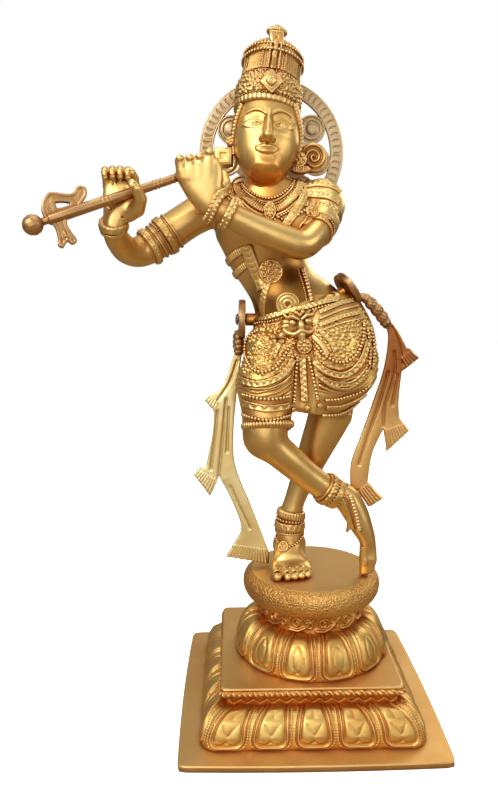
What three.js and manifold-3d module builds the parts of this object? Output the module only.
// A brass flute player standing cross-legged on a lotus seat and a square stepped plinth.
// Millimetres: +X to the viewer's right, +Y to the back, +Z up. The origin is the middle of the plinth's underside.
// Left and right in names are the figure's own, so its right side is at the viewer's left.
import * as THREE from 'three';
import { mergeVertices } from 'three/addons/utils/BufferGeometryUtils.js';
import Module from 'manifold-3d';

const wasm = await Module();
wasm.setup();

// Driving sizes of the plinth, from the underside up
const plateSide = 228;
const plateBow = 2.4;
const plateHeight = 6;
const cushionFootSide = 194;
const cushionTopSide = 155;
const cushionHeight = 28;
const recessSide = 150;
const recessHeight = 9.5;
const slabSide = 155;
const slabHeight = 8;
const slabRimOut = 3.6;
const lotusFootRadius = 70;
const lotusHeight = 33;
const neckRadius = 46;
const neckHeight = 17.5;
const seatRadius = 64;
const seatTopRadius = 56;
const seatHeight = 26;
const seatShift = 5.6;
const petalsPerSide = 5;
const seatPetals = 12;
const petalBulge = 3.4;

// Driving sizes of the figure and of what is fixed to it
const figureHeight = 483;
const fitGap = 0.3;
const fluteHalf = 4.6;
const fluteEndHalf = 2.9;
const fluteBallRadius = 8.5;
const birdThickness = 5.5;
const haloRadius = 65.4;
const haloBand = 12;
const haloThickness = 3.4;
const haloLobes = 9;
const haloLobeRadius = 12.8;
const lugRadius = 5.5;
const boltRadius = 2.5;
const boltHeadRadius = 5;
const boltHeadHeight = 2.6;
const boltDepth = 5;
const loopRadius = 17.5;
const loopThickness = 6;
const clothThickness = 3.2;
const tasselThickness = 5;

// Levels worked out from the sizes above
const recessFoot = plateHeight + cushionHeight;
const slabFoot = recessFoot + recessHeight;
const slabTop = slabFoot + slabHeight;
const seatFoot = slabTop + lotusHeight + neckHeight;
const seatTop = seatFoot + seatHeight;

// The figure's own measures are shares: hundredths of its height, from the middle of the seat's top.
const share = figureHeight / 100;
const at = (x, y, z) => new THREE.Vector3(seatShift + x * share, y * share, seatTop + z * share);
const sharesOf = (place) => [(place.x - seatShift) / share, place.y / share, (place.z - seatTop) / share];
const backwards = new THREE.Vector3(0, 1, 0);
const upwards = new THREE.Vector3(0, 0, 1);

// Solids, joins and cuts
function solid(geometry) {
  const bare = geometry.clone();
  bare.deleteAttribute('normal');
  bare.deleteAttribute('uv');
  const merged = mergeVertices(bare, 1e-4);
  const made = (triVerts) => new wasm.Manifold(new wasm.Mesh({
    numProp: 3,
    vertProperties: new Float32Array(merged.attributes.position.array),
    triVerts,
  }));
  const faces = new Uint32Array(merged.index.array);
  const first = made(faces);
  return first.volume() > 0 ? first : made(faces.reverse());
}

const join = (solids) => solids.reduce((all, next) => all.add(next));

function geometryOf(made) {
  const mesh = made.getMesh();
  const geometry = new THREE.BufferGeometry();
  geometry.setAttribute('position', new THREE.BufferAttribute(new Float32Array(mesh.vertProperties), 3));
  geometry.setIndex(new THREE.BufferAttribute(new Uint32Array(mesh.triVerts), 1));
  return geometry;
}

// A closed skin over rings of equal count, with a cap on each end
function skin(rings) {
  const count = rings[0].length;
  const points = rings.flat();
  const faces = [];
  for (let r = 0; r < rings.length - 1; r++) {
    for (let s = 0; s < count; s++) {
      const next = (s + 1) % count;
      const [a, b, c, d] = [r * count + s, r * count + next, (r + 1) * count + s, (r + 1) * count + next];
      faces.push(a, b, d, a, d, c);
    }
  }
  [0, rings.length - 1].forEach((r) => {
    const middle = points.length;
    const centre = new THREE.Vector3();
    rings[r].forEach((p) => centre.addScaledVector(p, 1 / count));
    points.push(centre);
    for (let s = 0; s < count; s++) {
      const a = r * count + s;
      const b = r * count + (s + 1) % count;
      faces.push(...(r === 0 ? [middle, b, a] : [middle, a, b]));
    }
  });
  const geometry = new THREE.BufferGeometry().setFromPoints(points);
  geometry.setIndex(faces);
  return solid(geometry);
}

// A route through stations of [x, y, z, half width, half depth] in shares. Depth is measured along the given direction.
function route(stations, depth = backwards) {
  const smooth = (points) => new THREE.CatmullRomCurve3(points, false, 'catmullrom');
  const centres = smooth(stations.map(([x, y, z]) => at(x, y, z)));
  const halves = smooth(stations.map((s) => new THREE.Vector3(s[3] * share, s[4] * share, 0)));
  return (t) => {
    const along = centres.getTangent(t);
    const front = depth.clone().addScaledVector(along, -depth.dot(along)).normalize();
    const side = new THREE.Vector3().crossVectors(front, along);
    const half = halves.getPoint(t);
    return { centre: centres.getPoint(t), along, front, side, a: half.x, b: half.y };
  };
}

// The oval ring of a route's place: scaled, grown outwards and shifted along the route, with the oval's whole area
function oval(place, sides, factor = 1, grow = 0, shift = 0) {
  const step = (Math.PI * 2) / sides;
  const wide = factor * Math.sqrt(step / Math.sin(step));
  return Array.from({ length: sides }, (_, i) => {
    const turn = i * step;
    return place.centre.clone()
      .addScaledVector(place.side, Math.cos(turn) * (place.a * wide + grow))
      .addScaledVector(place.front, Math.sin(turn) * (place.b * wide + grow))
      .addScaledVector(place.along, shift);
  });
}

// A body along a route: limbs, trunk, fingers, rolls of cloth. A band of [t, rise, half width] stands out round it.
function body(path, sides, steps, { ends = 0, bands = [] } = {}) {
  const wall = 0.002;
  const edges = bands.map(([t, rise, halfWidth]) => {
    const speed = path(t).centre.distanceTo(path(t - 0.02).centre) / 0.02;
    return { t, rise, reach: halfWidth / speed };
  });
  const stops = [];
  for (let i = 0; i <= steps; i++) {
    const t = i / steps;
    if (!edges.some((band) => Math.abs(t - band.t) < band.reach * 1.5)) stops.push([t, 0]);
  }
  edges.forEach(({ t, rise, reach }) => {
    stops.push([t - reach, 0], [t - reach + wall, rise], [t + reach - wall, rise], [t + reach, 0]);
  });
  stops.sort((one, other) => one[0] - other[0]);
  const rings = stops.map(([t, grow]) => oval(path(t), sides, 1, grow));
  if (ends) {
    const first = path(0);
    const last = path(1);
    rings.unshift(oval(first, sides, 0.6, 0, -ends * Math.min(first.a, first.b)));
    rings.push(oval(last, sides, 0.6, 0, ends * Math.min(last.a, last.b)));
  }
  return skin(rings);
}

// An egg-shaped solid at a place in shares
function ball([x, y, z], [rx, ry, rz], sides = 6, steps = 4) {
  const sphere = new THREE.SphereGeometry(share, sides, steps);
  sphere.rotateX(Math.PI / 2).scale(rx, ry, rz);
  const place = at(x, y, z);
  return solid(sphere.translate(place.x, place.y, place.z));
}

// A turned solid: its profile of [radius, height] runs from the axis to the axis, upwards
function turned(profile, segments, place, axis = upwards) {
  const lathe = new THREE.LatheGeometry(profile.map(([r, h]) => new THREE.Vector2(r, h)), segments);
  lathe.applyQuaternion(new THREE.Quaternion().setFromUnitVectors(backwards, axis.clone().normalize()));
  return solid(lathe.translate(place.x, place.y, place.z));
}

const box = (width, depth, height, x, y, z) => solid(new THREE.BoxGeometry(width, depth, height).translate(x, y, z));

// Plinth: a thin plate, a square cushion of petals, a recess, a rimmed slab, a round lotus and the seat
// A square plan with rounded corners and sides that bow out
function squareRing(side, z, corner, bow = 0) {
  const half = side / 2;
  const straight = half - corner;
  const points = [];
  for (let quarter = 0; quarter < 4; quarter++) {
    const turn = quarter * Math.PI / 2;
    const local = [[half + bow, 0]];
    [0, 45, 90].forEach((degrees) => {
      const angle = THREE.MathUtils.degToRad(degrees);
      local.push([straight + corner * Math.cos(angle), straight + corner * Math.sin(angle)]);
    });
    local.forEach(([x, y]) => points.push(new THREE.Vector3(x, y, z).applyAxisAngle(upwards, turn)));
  }
  return points;
}

// How far a row of petals stands out at a phase across a petal and a height up its tongue, both from 0 to 1
function petalOut(across, height) {
  const tip = across === 0.5 ? 0.1 : 0.16;
  const groove = across === 0 ? 0 : 1;
  return petalBulge * groove * THREE.MathUtils.smoothstep(height, 0.02, tip) * (1 - 0.5 * height);
}

// The heights of the rings up a row of petals, and the places of the points across one petal
const petalHeights = [0, 0.14, 0.5, 1];
const petalAcross = [0, 0.12, 0.5, 0.88];

// The square cushion's half side and height at a share of its rise, a quarter round from foot to top
function cushionAt(t) {
  const foot = cushionFootSide / 2;
  const top = cushionTopSide / 2;
  const turn = t * Math.PI / 2;
  return [top + (foot - top) * Math.cos(turn) ** 0.8, plateHeight + cushionHeight * Math.sin(turn)];
}

// The round lotus' radius and height at a share of its rise
function lotusAt(t) {
  const turn = t * Math.PI / 2;
  return [neckRadius + (lotusFootRadius - neckRadius) * Math.cos(turn) ** 0.7, slabTop + lotusHeight * Math.sin(turn)];
}

function cushionRing(t) {
  const [half, z] = cushionAt(t);
  const corner = half * 0.17;
  const points = [];
  for (let side = 0; side < 4; side++) {
    for (let petal = 0; petal < petalsPerSide; petal++) {
      petalAcross.forEach((across) => {
        const u = ((petal + across) / petalsPerSide) * 2 - 1;
        const past = Math.max(0, Math.abs(u) * half - (half - corner));
        const round = corner - Math.sqrt(Math.max(0, corner ** 2 - (past * 0.98) ** 2));
        const out = half - round * 0.6 + petalOut(across, t);
        points.push(new THREE.Vector3(u * (half - 0.04 * half), -out, z).applyAxisAngle(upwards, side * Math.PI / 2));
      });
    }
  }
  return points;
}

function lotusRing(t) {
  const [radius, z] = lotusAt(t);
  const points = [];
  for (let petal = 0; petal < seatPetals; petal++) {
    petalAcross.forEach((across) => {
      const turn = ((petal + across) / seatPetals) * Math.PI * 2;
      const out = radius + petalOut(across, t);
      points.push(new THREE.Vector3(seatShift + out * Math.sin(turn), -out * Math.cos(turn), z));
    });
  }
  return points;
}

function makePlinth() {
  const edge = 1.4;
  const plate = skin([
    squareRing(plateSide - edge, 0, 4, plateBow), squareRing(plateSide, edge, 4, plateBow),
    squareRing(plateSide, plateHeight - edge, 4, plateBow), squareRing(plateSide - edge * 2, plateHeight, 4, plateBow),
  ]);
  const sunkCushion = cushionRing(0).map((p) => p.clone().setZ(plateHeight / 2));
  const sunkLotus = lotusRing(0).map((p) => p.clone().setZ(slabTop - slabHeight / 2));
  const recess = skin([squareRing(recessSide, recessFoot - 3, 6), squareRing(recessSide, slabFoot + 3, 6)]);
  const rimSide = slabSide + slabRimOut * 2;
  const slab = skin([
    squareRing(slabSide, slabFoot, 6), squareRing(rimSide, slabFoot + slabHeight * 0.25, 8),
    squareRing(rimSide, slabFoot + slabHeight * 0.7, 8), squareRing(slabSide, slabTop, 6),
  ]);
  const seat = [
    [0, seatFoot - neckHeight - 3], [neckRadius, seatFoot - neckHeight - 3], [neckRadius, seatFoot],
    [seatRadius - 8, seatFoot + 1.5], [seatRadius - 1.6, seatFoot + 8], [seatRadius, seatFoot + 14],
    [seatRadius - 1.2, seatFoot + 20], [seatTopRadius, seatTop], [0, seatTop],
  ];
  return join([
    plate, skin([sunkCushion, ...petalHeights.map(cushionRing)]), recess, slab,
    skin([sunkLotus, ...petalHeights.map(lotusRing)]), turned(seat, 24, new THREE.Vector3(seatShift, 0, 0)),
  ]);
}

// Figure: the bare body
const trunk = route([
  [-1.2, 0, 44.9, 9.3, 6.8], [-2.8, 0, 49.1, 8.7, 6.2], [-5.4, 0, 53.7, 6.4, 4.7], [-7.2, 0, 57, 6.3, 4.4],
  [-8.4, 0, 59.8, 7.1, 4.9], [-8.6, -0.2, 62.7, 9, 5.5], [-8.4, -0.3, 65.8, 9.8, 5.8], [-8, 0, 68.5, 10, 5],
  [-8.5, 0, 71.1, 6.4, 4],
]);
const neck = route([[-8.3, 0, 69.5, 4.6, 4.2], [-8.6, -0.2, 72.5, 3.9, 3.9], [-8.8, -0.4, 76, 3.8, 3.9]]);
const head = route([
  [-9, -3.8, 73.9, 2.4, 2], [-8.9, -2.7, 75.4, 4, 3.6], [-8.8, -1.6, 77.4, 5.1, 5], [-8.6, -0.9, 79.8, 5.6, 5.9],
  [-8.5, -0.4, 82.4, 5.8, 6.2], [-8.2, 0, 85, 5.6, 6], [-8, 0.4, 87.5, 4.8, 5.2],
]);
const leftArm = route([
  [0.6, 0, 70.2, 3.2, 3.4], [2, -1.2, 68.6, 3.4, 3.6], [0.9, -3.9, 65.4, 2.7, 3.1], [-0.8, -6.6, 62.8, 2.5, 2.9],
  [-3, -8.4, 61.3, 2.5, 2.8], [-5.8, -9.1, 62, 2.5, 2.7], [-10.1, -9.9, 63.7, 2.3, 2.4], [-14.4, -10.6, 65.4, 1.8, 2],
  [-16.8, -11, 66.4, 1.7, 1.8],
]);
const rightArm = route([
  [-16.2, 0, 69.4, 3.3, 3.4], [-18.6, 0, 68.4, 3.5, 3.6], [-22.4, -0.7, 66.3, 3.2, 3.4], [-26.6, -1.4, 63.5, 3.2, 3.3],
  [-30.6, -2.6, 60.8, 2.8, 3], [-32.9, -5.2, 60.6, 2.4, 2.7], [-34, -8.4, 62, 2.1, 2.4], [-34.3, -10.8, 63.6, 1.9, 2.1],
  [-34.2, -12.1, 65.2, 1.7, 1.7],
]);
const rightLeg = route([
  [-6.4, 0, 43.5, 5.2, 5.6], [-8.2, -3.6, 37, 4.9, 5.4], [-9, -6.2, 31.4, 4.3, 4.7], [-9.4, -7.5, 27.9, 3.7, 4],
  [-8, -7.4, 25.4, 3.2, 3.6], [-5.2, -6.7, 23, 3, 3.2], [-1.9, -5.6, 20.3, 2.7, 2.9], [1.6, -4.6, 17.6, 2.4, 2.6],
  [4.6, -3.8, 15.6, 2.2, 2.4],
]);
const rightFoot = route([
  [5.8, -3.9, 16, 1.9, 2.2], [7.6, -3.6, 14.4, 1.8, 2.4], [8.6, -3.6, 12, 1.8, 2.6], [9.2, -3.9, 9.3, 2, 2.4],
  [10.1, -4.1, 7, 1.8, 1.9], [10.5, -4.2, 5, 1.7, 1.5], [10.4, -4.3, 3, 1.6, 1.2], [10.4, -4.3, 1, 0.9, 0.8],
]);
const leftLeg = route([
  [5.4, 0.4, 42, 5.8, 5.6], [4.4, 0.4, 35, 4.8, 4.9], [2.8, 0.6, 29.9, 3.6, 3.8], [1.2, 0.8, 24.4, 2.9, 3.1],
  [-0.8, 1, 18.3, 2.4, 2.5], [-2.7, 1, 13.5, 2.1, 2.2], [-3.8, 0.8, 9.9, 2.3, 2.3], [-4.2, 0.8, 6, 2.7, 2.8],
]);
const leftFoot = route([
  [-4, 3.3, 1.7, 1.8, 1.7], [-4.2, 1.2, 3, 2.8, 3], [-4.2, -1.2, 2.6, 3.1, 2.6], [-4.1, -3, 1.7, 3.6, 1.7],
  [-4, -4.6, 1.2, 3.8, 1.2],
], upwards);

function makeHandsAndToes() {
  const parts = [];
  const rounded = { ends: 0.6 };
  // Left hand: its back faces the viewer and the four fingers stand up
  parts.push(body(route([
    [-16.7, -11, 66, 1.7, 1.5], [-18.2, -11.2, 68.9, 2.8, 1.4], [-19.3, -11.4, 71.6, 3.6, 1.2], [-20.6, -11.5, 74, 3.6, 1],
  ]), 8, 3));
  [[-23.3, 75.2], [-21.7, 75.2], [-20.1, 75.3], [-18.4, 76.1]].forEach(([x, z]) => {
    parts.push(body(route([[x * 0.8 - 4.1, -11.4, 73, 0.8, 0.8], [x, -11.6, z - 0.3, 0.82, 0.85]]), 4, 1, rounded));
  });
  parts.push(body(route([[-17, -10.8, 69, 1, 1], [-15.6, -9.4, 71, 0.9, 0.9], [-16, -7.4, 73, 0.8, 0.8]]), 5, 2, rounded));
  // Right hand: its palm faces the viewer, the fingers bend forward over the flute and the thumb comes up before it
  parts.push(body(route([
    [-34.2, -12.1, 64.6, 1.7, 1.5], [-33.3, -11.9, 66.8, 2.7, 1.5], [-32.8, -11.5, 69.2, 3, 1.2], [-32.7, -11.4, 71.4, 3, 1],
  ]), 8, 3));
  for (let i = 0; i < 4; i++) {
    const x = -34.8 + i * 1.5;
    parts.push(body(route([
      [x, -11.4, 71, 0.78, 0.8], [x, -12.6, 72.8, 0.78, 0.8], [x, -14.3, 71.9, 0.65, 0.65],
    ], new THREE.Vector3(1, 0, 0)), 4, 2, rounded));
  }
  parts.push(body(route([
    [-31.6, -12.2, 66, 1.1, 1.1], [-29.9, -13.6, 66.6, 1, 1], [-29.1, -15.2, 68.2, 0.9, 0.9], [-30, -16.1, 70, 0.75, 0.65],
  ]), 5, 3, rounded));
  // Toes of the standing foot, the big toe at the viewer's left
  [[-6.9, 1.05, 0], [-5, 0.8, -0.2], [-3.6, 0.76, 0], [-2.3, 0.72, 0.35], [-1.1, 0.66, 0.8]].forEach(([x, r, back]) => {
    parts.push(body(route([[x, -4.4 + back, 1.1, r, 0.95], [x, -6 + back, 0.8, r * 0.85, 0.65]], upwards), 4, 1, rounded));
  });
  // Heel and spur of the hanging foot
  parts.push(ball([7.2, -2.6, 9.2], [1.5, 2, 1.7]), ball([6, -4, 9.5], [0.5, 0.5, 0.8], 4, 3));
  return parts;
}

// Figure: head, hair and crown
const crownAxis = new THREE.Vector3(0.12, 0.22, 0.97).normalize();
const crownFoot = at(-8.2, 0.2, 85.1);

function makeHead(frontOf) {
  const parts = [];
  const middle = -8.7;
  const onFace = (x, z, sink) => [x, frontOf(x, z) + sink, z];
  parts.push(body(route([
    [middle, frontOf(middle, 81.6) + 0.5, 81.6, 0.5, 0.5], [middle, frontOf(middle, 79.6) - 0.1, 79.4, 0.55, 0.7],
    [middle, frontOf(middle, 77.9) - 0.5, 77.9, 0.95, 0.8],
  ]), 5, 2));
  parts.push(ball(onFace(middle, 76.1, 0.1), [1.3, 0.8, 0.6]));
  [-1, 1].forEach((s) => {
    parts.push(ball(onFace(middle + s * 2.35, 79.9, 0.32), [1.15, 0.7, 0.55]));
    // The wheel-shaped ring in the ear and the lock of hair before it
    const ear = middle + 0.2 + s * 5.6;
    const wheel = [[0, -0.8], [1.9, -0.8], [1.9, 0.8], [1, 1], [0.7, 0.5], [0, 1]];
    parts.push(turned(wheel.map(([r, h]) => [r * share, h * share]), 8, at(ear + s * 1.4, -1.6, 76.2), new THREE.Vector3(s * 0.5, -0.85, 0)));
    parts.push(body(route([
      [ear - s * 0.5, -2.4, 84.6, 0.5, 0.9], [ear + s * 0.1, -2, 80.6, 0.5, 0.9], [ear + s * 0.5, -1.4, 77, 0.6, 0.8],
    ]), 4, 2));
    parts.push(body(route([[ear + s * 1.2, -1, 75, 0.7, 0.9], [ear + s * 1.6, -1.1, 72.4, 1, 1]]), 5, 1));
  });
  // Hair at the nape, running down to the shoulders
  parts.push(body(route([
    [-8.3, 3, 86, 4.6, 3], [-8.4, 3.6, 80, 5, 2.9], [-8.5, 3.2, 75, 4.6, 2.2], [-8.3, 3.6, 70.5, 5.6, 1.8], [-8.2, 4.4, 67, 4.6, 1.2],
  ]), 7, 3));
  return parts;
}

// The tall crown: [radius, height] in shares along its leaning axis, stretched to the figure's full height
const crownProfile = [
  [0, -0.6], [6, -0.6], [6.5, 0.6], [6.2, 1.2], [6.3, 3.4], [5.3, 4.3], [5.1, 7.6], [5.4, 7.9], [5.3, 8.8], [4.7, 10.6],
  [3.6, 11.5], [1.5, 12.2], [2.4, 13.4], [1.7, 14.5], [0, 15.15],
];

function makeCrown() {
  const top = crownProfile[crownProfile.length - 1][1] * share;
  const stretch = (seatTop + figureHeight - crownFoot.z) / (top * crownAxis.z);
  const parts = [turned(crownProfile.map(([r, h]) => [r * share, h * share * stretch]), 12, crownFoot, crownAxis)];
  const lean = new THREE.Quaternion().setFromUnitVectors(upwards, crownAxis);
  const onCrown = (x, out, h) => new THREE.Vector3(x, -out, h * stretch).multiplyScalar(share).applyQuaternion(lean).add(crownFoot);
  const plate = (inner, outer, points) => skin([inner, outer].map((out) => points.map(([x, h]) => onCrown(x, out, h))));
  // The pointed plate over the brow with its jewel, the strip up the front and the block under the finial
  parts.push(plate(4.4, 6.8, [[-3, 1.2], [3, 1.2], [2.4, 3.4], [0, 6.4], [-2.4, 3.4]]));
  parts.push(plate(5, 7.2, [[-1.2, 2.6], [0, 1.5], [1.2, 2.6], [0.9, 3.8], [-0.9, 3.8]]));
  parts.push(plate(4, 5.75, [[-0.6, 5.4], [0.6, 5.4], [0.6, 9.8], [-0.6, 9.8]]));
  parts.push(plate(1.2, 4.9, [[-1, 9.6], [1, 9.6], [1, 11.6], [-1, 11.6]]));
  return parts;
}

// Figure: the short skirt with its hems, swags and front panel
const skirt = route([
  [-4, 0, 51.4, 7.4, 5.6], [-3, -0.2, 49.4, 8.9, 6.7], [-1, -0.2, 46.8, 10.8, 7.9], [-0.3, -0.4, 42.8, 12, 8.5],
  [-1.7, -0.9, 38.7, 11.5, 8.6], [-2.6, -1.3, 35.4, 10.6, 8.4], [-3.2, -1.5, 33.2, 10, 8],
]);
const rightSleeve = route([[-8.6, -4.6, 36, 5, 5.3], [-9, -6.2, 32, 4.7, 5], [-9.1, -6.8, 30, 4.5, 4.8]]);
const leftSleeve = route([[3.4, 0.2, 36, 5.6, 6.4], [2.7, 0.3, 33.2, 5, 5.8], [2.5, 0.3, 31.6, 4.7, 5.5]]);

// A cord laid on the front of the body through points of [x, z]
function draped(points, radius, frontOf, steps = 4) {
  const line = new THREE.SplineCurve(points.map(([x, z]) => new THREE.Vector2(x, z)));
  const stations = [];
  for (let i = 0; i <= steps; i++) {
    const p = line.getPoint(i / steps);
    stations.push([p.x, frontOf(p.x, p.y) - radius * 0.4, p.y, radius, radius]);
  }
  return body(route(stations), 4, steps);
}

function makeSkirtCarving(frontOf) {
  const parts = [];
  const swags = [
    [[-3, 45.4], [-6, 41.4], [-9.4, 40.2], [-11.4, 42.4], [-11.8, 46]],
    [[-2.8, 43.2], [-6, 38.6], [-10, 36.6], [-12.4, 37.6]],
    [[0.4, 43.8], [3.2, 40.8], [6.6, 39.9], [9.4, 42], [10.4, 46]],
    [[0.4, 42], [4, 37.8], [8, 37.2], [10.8, 40]],
  ];
  swags.forEach((points) => parts.push(draped(points, 0.8, frontOf)));
  // The front panel: strips that end in round studs
  [[-1.4, -4], [-0.5, 0.2]].forEach(([top, foot]) => {
    parts.push(draped([[top, 43.6], [(top + foot) / 2, 38], [foot, 33.4]], 0.75, frontOf, 3));
    parts.push(ball([foot, frontOf(foot, 32.9) - 0.1, 32.9], [0.9, 0.9, 0.9], 5, 3));
  });
  // The mask-like buckle with its round eyes
  parts.push(ball([-2.6, frontOf(-2.6, 47.8) + 0.1, 47.4], [3.2, 1.3, 2.3], 8, 4));
  [-4.4, -1.8].forEach((x, i) => parts.push(ball([x, frontOf(x, 48.6) - 0.7, 48.6 + i * 0.5], [0.9, 0.8, 0.9], 5, 3)));
  // The gathered bunches of cloth over the hips
  parts.push(ball([-9.2, frontOf(-9.2, 44.6) + 0.5, 44.4], [2.2, 1.2, 2.8]));
  parts.push(ball([6.4, frontOf(6.4, 46.4) + 0.5, 46.2], [2.6, 1.2, 3]));
  return parts;
}

// Figure: necklaces, chains, crest and straps
function makeJewellery(frontOf) {
  const parts = [];
  const collar = (half, topZ, dip, r) => {
    const steps = 5;
    const stations = [];
    for (let i = 0; i <= steps; i++) {
      const turn = (i / steps) * Math.PI;
      const x = -8.5 - Math.cos(turn) * half;
      const z = topZ - Math.sin(turn) * dip;
      stations.push([x, frontOf(x, z) - r * 0.4, z, r, r]);
    }
    return body(route(stations), 4, steps);
  };
  parts.push(collar(4.6, 71.2, 2.6, 0.6), collar(6.6, 70.2, 4.6, 0.65));
  parts.push(ball([-8.4, frontOf(-8.4, 66.4) + 0.1, 66.4], [1.3, 0.9, 1.4], 5, 3));
  // The round medallion on the midriff and the two long chains beside it
  const medal = at(-8, frontOf(-8, 57.2) - 0.3, 57.2);
  parts.push(turned([[0, -4], [11.4, -4], [11.4, 1], [10, 2.4], [0, 2.4]], 10, medal, new THREE.Vector3(0, -1, 0.1)));
  parts.push(draped([[-12.2, 60.4], [-10.6, 56], [-9.6, 52], [-9.6, 48.6]], 0.7, frontOf, 3));
  parts.push(draped([[-3.6, 59.4], [-2.6, 56], [-0.6, 52.4], [1.4, 50]], 0.7, frontOf, 3));
  // The leaf-shaped crest of the left armlet, and the straps over the insteps
  parts.push(ball([2, -5.6, 66], [2, 1.4, 2.2]));
  parts.push(body(route([[6.9, -5.4, 17, 0.8, 0.7], [7.9, -6.2, 13, 0.8, 0.7], [7.8, -5.2, 8.3, 0.8, 0.7]]), 5, 3));
  parts.push(body(route([
    [-6.9, 0.6, 5.4, 0.5, 0.6], [-6, -1.6, 4.6, 0.6, 0.6], [-4.2, -2.6, 4, 0.75, 0.6], [-2.4, -1.6, 4.6, 0.6, 0.6],
    [-1.5, 0.6, 5.4, 0.5, 0.6],
  ], upwards), 5, 4));
  return parts;
}

// Flute: a bar with four flat sides, a ball and a flat bird at its far end, held by both hands
const fluteFrom = at(-45.5, -18.8, 63.9);
const fluteTo = at(-17.6, -8.3, 74.4);
const fluteAlong = fluteTo.clone().sub(fluteFrom).normalize();
const fluteFront = backwards.clone().negate().addScaledVector(fluteAlong, fluteAlong.y).normalize();
const fluteUp = new THREE.Vector3().crossVectors(fluteFront, fluteAlong);

function fluteBar(from, grow) {
  const length = fluteFrom.distanceTo(fluteTo);
  const ring = (along, half) => Array.from({ length: 8 }, (_, i) => {
    const turn = THREE.MathUtils.degToRad(45 * i + 22.5);
    return fluteFrom.clone().addScaledVector(fluteAlong, along)
      .addScaledVector(fluteUp, Math.sin(turn) * half)
      .addScaledVector(fluteFront, Math.cos(turn) * half);
  });
  return skin([ring(from, fluteHalf + grow), ring(length + grow, fluteEndHalf + grow)]);
}

// A flat plate beside the flute: its outline is in millimetres along the flute and above its middle.
function besideFlute(outline, thickness) {
  const shape = new THREE.Shape().moveTo(...outline[0]);
  shape.splineThru(outline.slice(1).map(([along, up]) => new THREE.Vector2(along, up)));
  const flat = new THREE.ExtrudeGeometry(shape, { depth: thickness, bevelEnabled: false, curveSegments: 1 });
  flat.translate(0, 0, -thickness / 2).applyMatrix4(new THREE.Matrix4().makeBasis(fluteAlong, fluteUp, fluteFront));
  return solid(flat.translate(fluteFrom.x, fluteFrom.y, fluteFrom.z));
}

function makeFlute() {
  const wing = [[9.7, 0], [10.4, 9], [15.8, 16.3], [21.8, 18.4], [31.5, 14], [36.9, 13], [40.4, 15.8], [44.4, 16.4], [47.5, 13.4], [46, 8], [39.3, 3]];
  const tail = [[12, 1], [14.4, -7], [13.4, -15], [11.4, -20], [14.2, -22.9], [19, -19.7], [21.6, -22.9], [26.2, -21], [24.4, -13], [24, -7], [28, 0]];
  const knob = [[0, -1], [0.75, -0.7], [1, 0], [0.75, 0.7], [0, 1]].map(([r, h]) => [r * fluteBallRadius, h * fluteBallRadius]);
  return join([
    fluteBar(5, 0), besideFlute(wing, birdThickness), besideFlute(tail, birdThickness), turned(knob, 10, fluteFrom, fluteAlong),
  ]);
}

// Halo: a flat ring with a wheel of round lobes inside it, fixed to the back of the head
const haloCentre = at(-7.3, 7.5, 79.1);

function makeHalo() {
  const disc = (radius, centre, segments, inner = 0) => {
    const closing = inner ? [[inner, 0]] : [];
    return turned([[inner, 0], [radius, 0], [radius, haloThickness], [inner, haloThickness], ...closing], segments, centre, backwards);
  };
  const reach = haloRadius - haloBand - haloLobeRadius + 1;
  const parts = [disc(haloRadius, haloCentre, 30, haloRadius - haloBand), disc(reach - 5, haloCentre, 12)];
  for (let i = 0; i < haloLobes; i++) {
    const turn = Math.PI / 2 + ((i + 0.5) / haloLobes) * Math.PI * 2;
    const centre = haloCentre.clone().add(new THREE.Vector3(Math.cos(turn) * reach, 0, Math.sin(turn) * reach));
    parts.push(disc(haloLobeRadius, centre, 8));
  }
  return join(parts);
}

// The boss behind the head that the halo sits against
function makeHaloBoss() {
  const length = 4 * share;
  const foot = haloCentre.clone().addScaledVector(backwards, -length - fitGap);
  return turned([[0, 0], [2.4 * share, 0], [2 * share, length], [0, length]], 10, foot, backwards);
}

// Sashes: a loop plate bolted to the hip, a bound knot and a flat cloth that ends in tasselled tails
const rightHip = { lug: at(-11.2, 0.2, 48.3), out: new THREE.Vector3(-1, 0, 0.02).normalize(), reach: 6.2, clothDepth: 0.8 };
const leftHip = { lug: at(4.4, -1, 52.6), out: new THREE.Vector3(0.76, -0.31, 0.57).normalize(), reach: 7, clothDepth: 0.4 };

function makeHipLug({ lug, out, reach }) {
  return turned([[0, -12], [lugRadius, -12], [lugRadius, reach], [0, reach]], 10, lug, out);
}

function makeBolt({ lug, out, reach }) {
  const face = reach + fitGap * 2 + loopThickness;
  return turned([
    [0, reach - boltDepth], [boltRadius, reach - boltDepth], [boltRadius, face], [boltHeadRadius, face],
    [boltHeadRadius * 0.9, face + boltHeadHeight * 0.6], [0, face + boltHeadHeight],
  ], 10, lug, out);
}

// The hole that the bolt goes through, in the loop plate and in the hip
function makeBoltHole({ lug, out, reach }) {
  const foot = reach - boltDepth - fitGap;
  const top = reach + loopThickness * 2;
  return turned([[0, foot], [boltRadius + fitGap, foot], [boltRadius + fitGap, top], [0, top]], 10, lug, out);
}

// The flat seat that the loop plate lies in on the hip
function makeLoopSeat({ lug, out, reach }) {
  const radius = loopRadius + fitGap;
  const top = reach + loopThickness * 2;
  return turned([[0, reach], [radius, reach], [radius, top], [0, top]], 16, lug, out);
}

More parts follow.
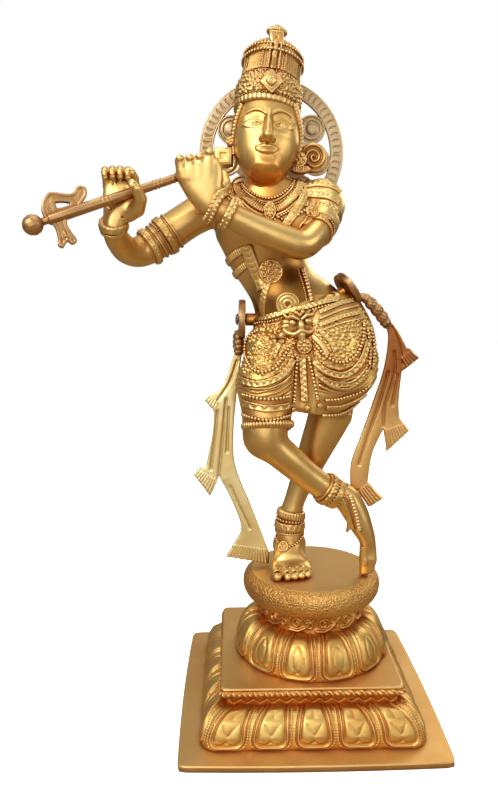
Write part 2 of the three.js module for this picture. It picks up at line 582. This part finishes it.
// A flat cloth from an outline of runs in shares of [x, z]: a run of one point is a corner, a longer one is a curve.
function makeCloth(runs, depth, thickness) {
  const toPlan = ([x, z]) => {
    const place = at(x, 0, z);
    return new THREE.Vector2(place.x, place.z);
  };
  const points = runs.map((run) => run.map(toPlan));
  const shape = new THREE.Shape().moveTo(points[0][0].x, points[0][0].y);
  points.forEach((run) => (run.length > 1 ? shape.lineTo(run[0].x, run[0].y).splineThru(run.slice(1)) : shape.lineTo(run[0].x, run[0].y)));
  const flat = new THREE.ExtrudeGeometry(new THREE.Shape(shape.getPoints(1)), { depth: thickness, bevelEnabled: false });
  flat.rotateX(Math.PI / 2).translate(0, at(0, depth, 0).y + thickness / 2, 0);
  return solid(flat);
}

function makeSash(hip, knotStations, clothRuns, tassels) {
  const foot = hip.reach + fitGap;
  const top = foot + loopThickness;
  const loop = turned([[0, foot], [loopRadius, foot], [loopRadius, top], [0, top]], 16, hip.lug, hip.out);
  // The knot grows out of the middle of the loop plate, on the side where it hangs
  const middle = hip.lug.clone().addScaledVector(hip.out, foot + loopThickness / 2);
  const hanging = at(...knotStations[0].slice(0, 3)).sub(middle);
  hanging.addScaledVector(hip.out, -hanging.dot(hip.out)).normalize();
  const start = middle.addScaledVector(hanging, loopRadius * 0.7);
  const stations = [[...sharesOf(start), 0.8, 0.8], ...knotStations];
  const parts = [loop, body(route(stations), 6, 4, { bands: [[0.5, 1.2, 2.2], [0.8, 1.2, 2.2]] })];
  parts.push(makeCloth(clothRuns, hip.clothDepth, clothThickness));
  tassels.forEach((corners) => parts.push(makeCloth(corners.map((c) => [c]), hip.clothDepth, tasselThickness)));
  return join(parts).subtract(makeBoltHole(hip));
}

const makeRightSash = () => makeSash(
  rightHip,
  [[-13.9, 0.2, 46, 0.8, 1.7], [-13.8, 0.4, 43.8, 0.9, 1.4], [-13.8, 0.6, 41.4, 0.8, 0.8]],
  [
    [[-13.1, 42.4], [-14.1, 35.5], [-14.9, 27], [-14.6, 20.4], [-11.8, 12.9], [-9.4, 6.4], [-8.1, 2.7]], [[-8.2, 0.6]], [[-16.6, 2.2]],
    [[-14.6, 5.4], [-13.6, 8.4], [-15.6, 14], [-17.8, 18.4]], [[-19.5, 14.4]], [[-22.6, 18.7]], [[-20.2, 20.6], [-18.9, 26.8], [-18.6, 31.1]],
    [[-20.3, 33.2]], [[-19, 34.6]], [[-17.8, 34.7], [-16.2, 37.2], [-14.6, 42.2]],
  ],
  [
    [[-18.7, 31], [-20.3, 33.2], [-19, 34.6], [-17.6, 33]], [[-19.5, 14.3], [-22.7, 18.7], [-21.2, 20.4], [-18, 17.6]],
    [[-8.1, 0.5], [-16.7, 2.1], [-15, 5], [-8.7, 4.2]],
  ],
);

const makeLeftSash = () => makeSash(
  leftHip,
  [[9.2, -1.4, 52.2, 0.9, 1], [11, -1.2, 50.6, 1.1, 1.1], [12.7, -0.5, 48.7, 1.1, 1], [13.9, 0.2, 47, 0.9, 0.8]],
  [
    [[13.6, 48.6], [15.6, 46.4], [17.6, 42.9]], [[20.1, 41]], [[17.8, 39.1]], [[16.8, 38.4], [16.4, 33], [16.6, 29.6]], [[18.6, 27.1]],
    [[14.4, 23.1]], [[13.6, 27.4], [11.6, 22.6], [10.8, 16.7]], [[14, 13.8]], [[11.6, 12.2]], [[9.2, 15.6]],
    [[7.5, 15.8], [7.6, 21], [9.5, 26.6], [11.7, 33.3], [13.4, 39], [14.1, 45], [13.1, 47.6]],
  ],
  [
    [[17.6, 39], [20.1, 41], [18, 42.9], [16.4, 41]], [[14.3, 23], [18.7, 27.1], [16.8, 29.2], [13.9, 27.2]],
    [[10.9, 11.9], [14.1, 13.8], [11, 17], [8.2, 16.2]],
  ],
);

// The figure as one casting: the carving is laid on the front of the bare body.
function makeFigure() {
  const core = join([
    body(trunk, 10, 8, { bands: [[0.52, 1.4, 4]] }), body(neck, 7, 1), body(head, 10, 6),
    body(skirt, 12, 6, { bands: [[0.1, 2, 4]] }), body(rightSleeve, 9, 1, { bands: [[0.84, 2, 5.5]] }),
  ]);
  const target = new THREE.Mesh(geometryOf(core), new THREE.MeshBasicMaterial({ side: THREE.DoubleSide }));
  const ray = new THREE.Raycaster();
  const frontOf = (x, z) => {
    ray.set(at(x, -60, z), backwards);
    const hit = ray.intersectObject(target)[0];
    return hit ? hit.point.y / share : 0;
  };
  const whole = join([
    core, body(leftSleeve, 8, 1, { bands: [[0.84, 1.6, 4]] }),
    body(leftArm, 6, 8, { bands: [[0.27, 2, 4.6], [0.885, 2.4, 3], [0.95, 2.4, 3]] }),
    body(rightArm, 6, 8, { bands: [[0.42, 1.6, 3.4], [0.485, 2.4, 3.4], [0.925, 3, 5]] }),
    body(leftLeg, 6, 5, { bands: [[0.83, 2.6, 4.4], [0.905, 2.4, 4]] }), body(leftFoot, 7, 3),
    body(rightLeg, 6, 7, { bands: [[0.9, 3.4, 4.2], [0.96, 3.2, 4]] }), body(rightFoot, 6, 5, { ends: 0.5 }),
    ...makeHandsAndToes(), ...makeHead(frontOf), ...makeCrown(), ...makeSkirtCarving(frontOf), ...makeJewellery(frontOf),
    makeHaloBoss(), makeHipLug(rightHip), makeHipLug(leftHip),
  ]);
  const under = box(plateSide * 2, plateSide * 2, figureHeight, 0, 0, seatTop + fitGap - figureHeight / 2);
  const cuts = [rightHip, leftHip].flatMap((hip) => [makeBoltHole(hip), makeLoopSeat(hip)]);
  return [under, fluteBar(5, fitGap), ...cuts].reduce((all, cut) => all.subtract(cut), whole);
}

const metal = (color, roughness) => new THREE.MeshStandardMaterial({ color, roughness, metalness: 1 });
const paleBrass = metal(0xd9b25c, 0.32);
const warmBrass = metal(0xc98f3e, 0.4);
const dullBrass = metal(0xa98a55, 0.5);
const darkSteel = metal(0x5a4a38, 0.5);

function piece(name, made, material) {
  const mesh = new THREE.Mesh(geometryOf(made), material);
  mesh.name = name;
  return mesh;
}

const statue = new THREE.Group();
statue.add(
  piece('plinth', makePlinth(), warmBrass),
  piece('figure', makeFigure(), paleBrass),
  piece('flute', makeFlute(), dullBrass),
  piece('halo', makeHalo(), paleBrass),
  piece('right_sash', makeRightSash(), paleBrass),
  piece('left_sash', makeLeftSash(), warmBrass),
  piece('right_bolt', makeBolt(rightHip), darkSteel),
  piece('left_bolt', makeBolt(leftHip), darkSteel),
);

export default statue;
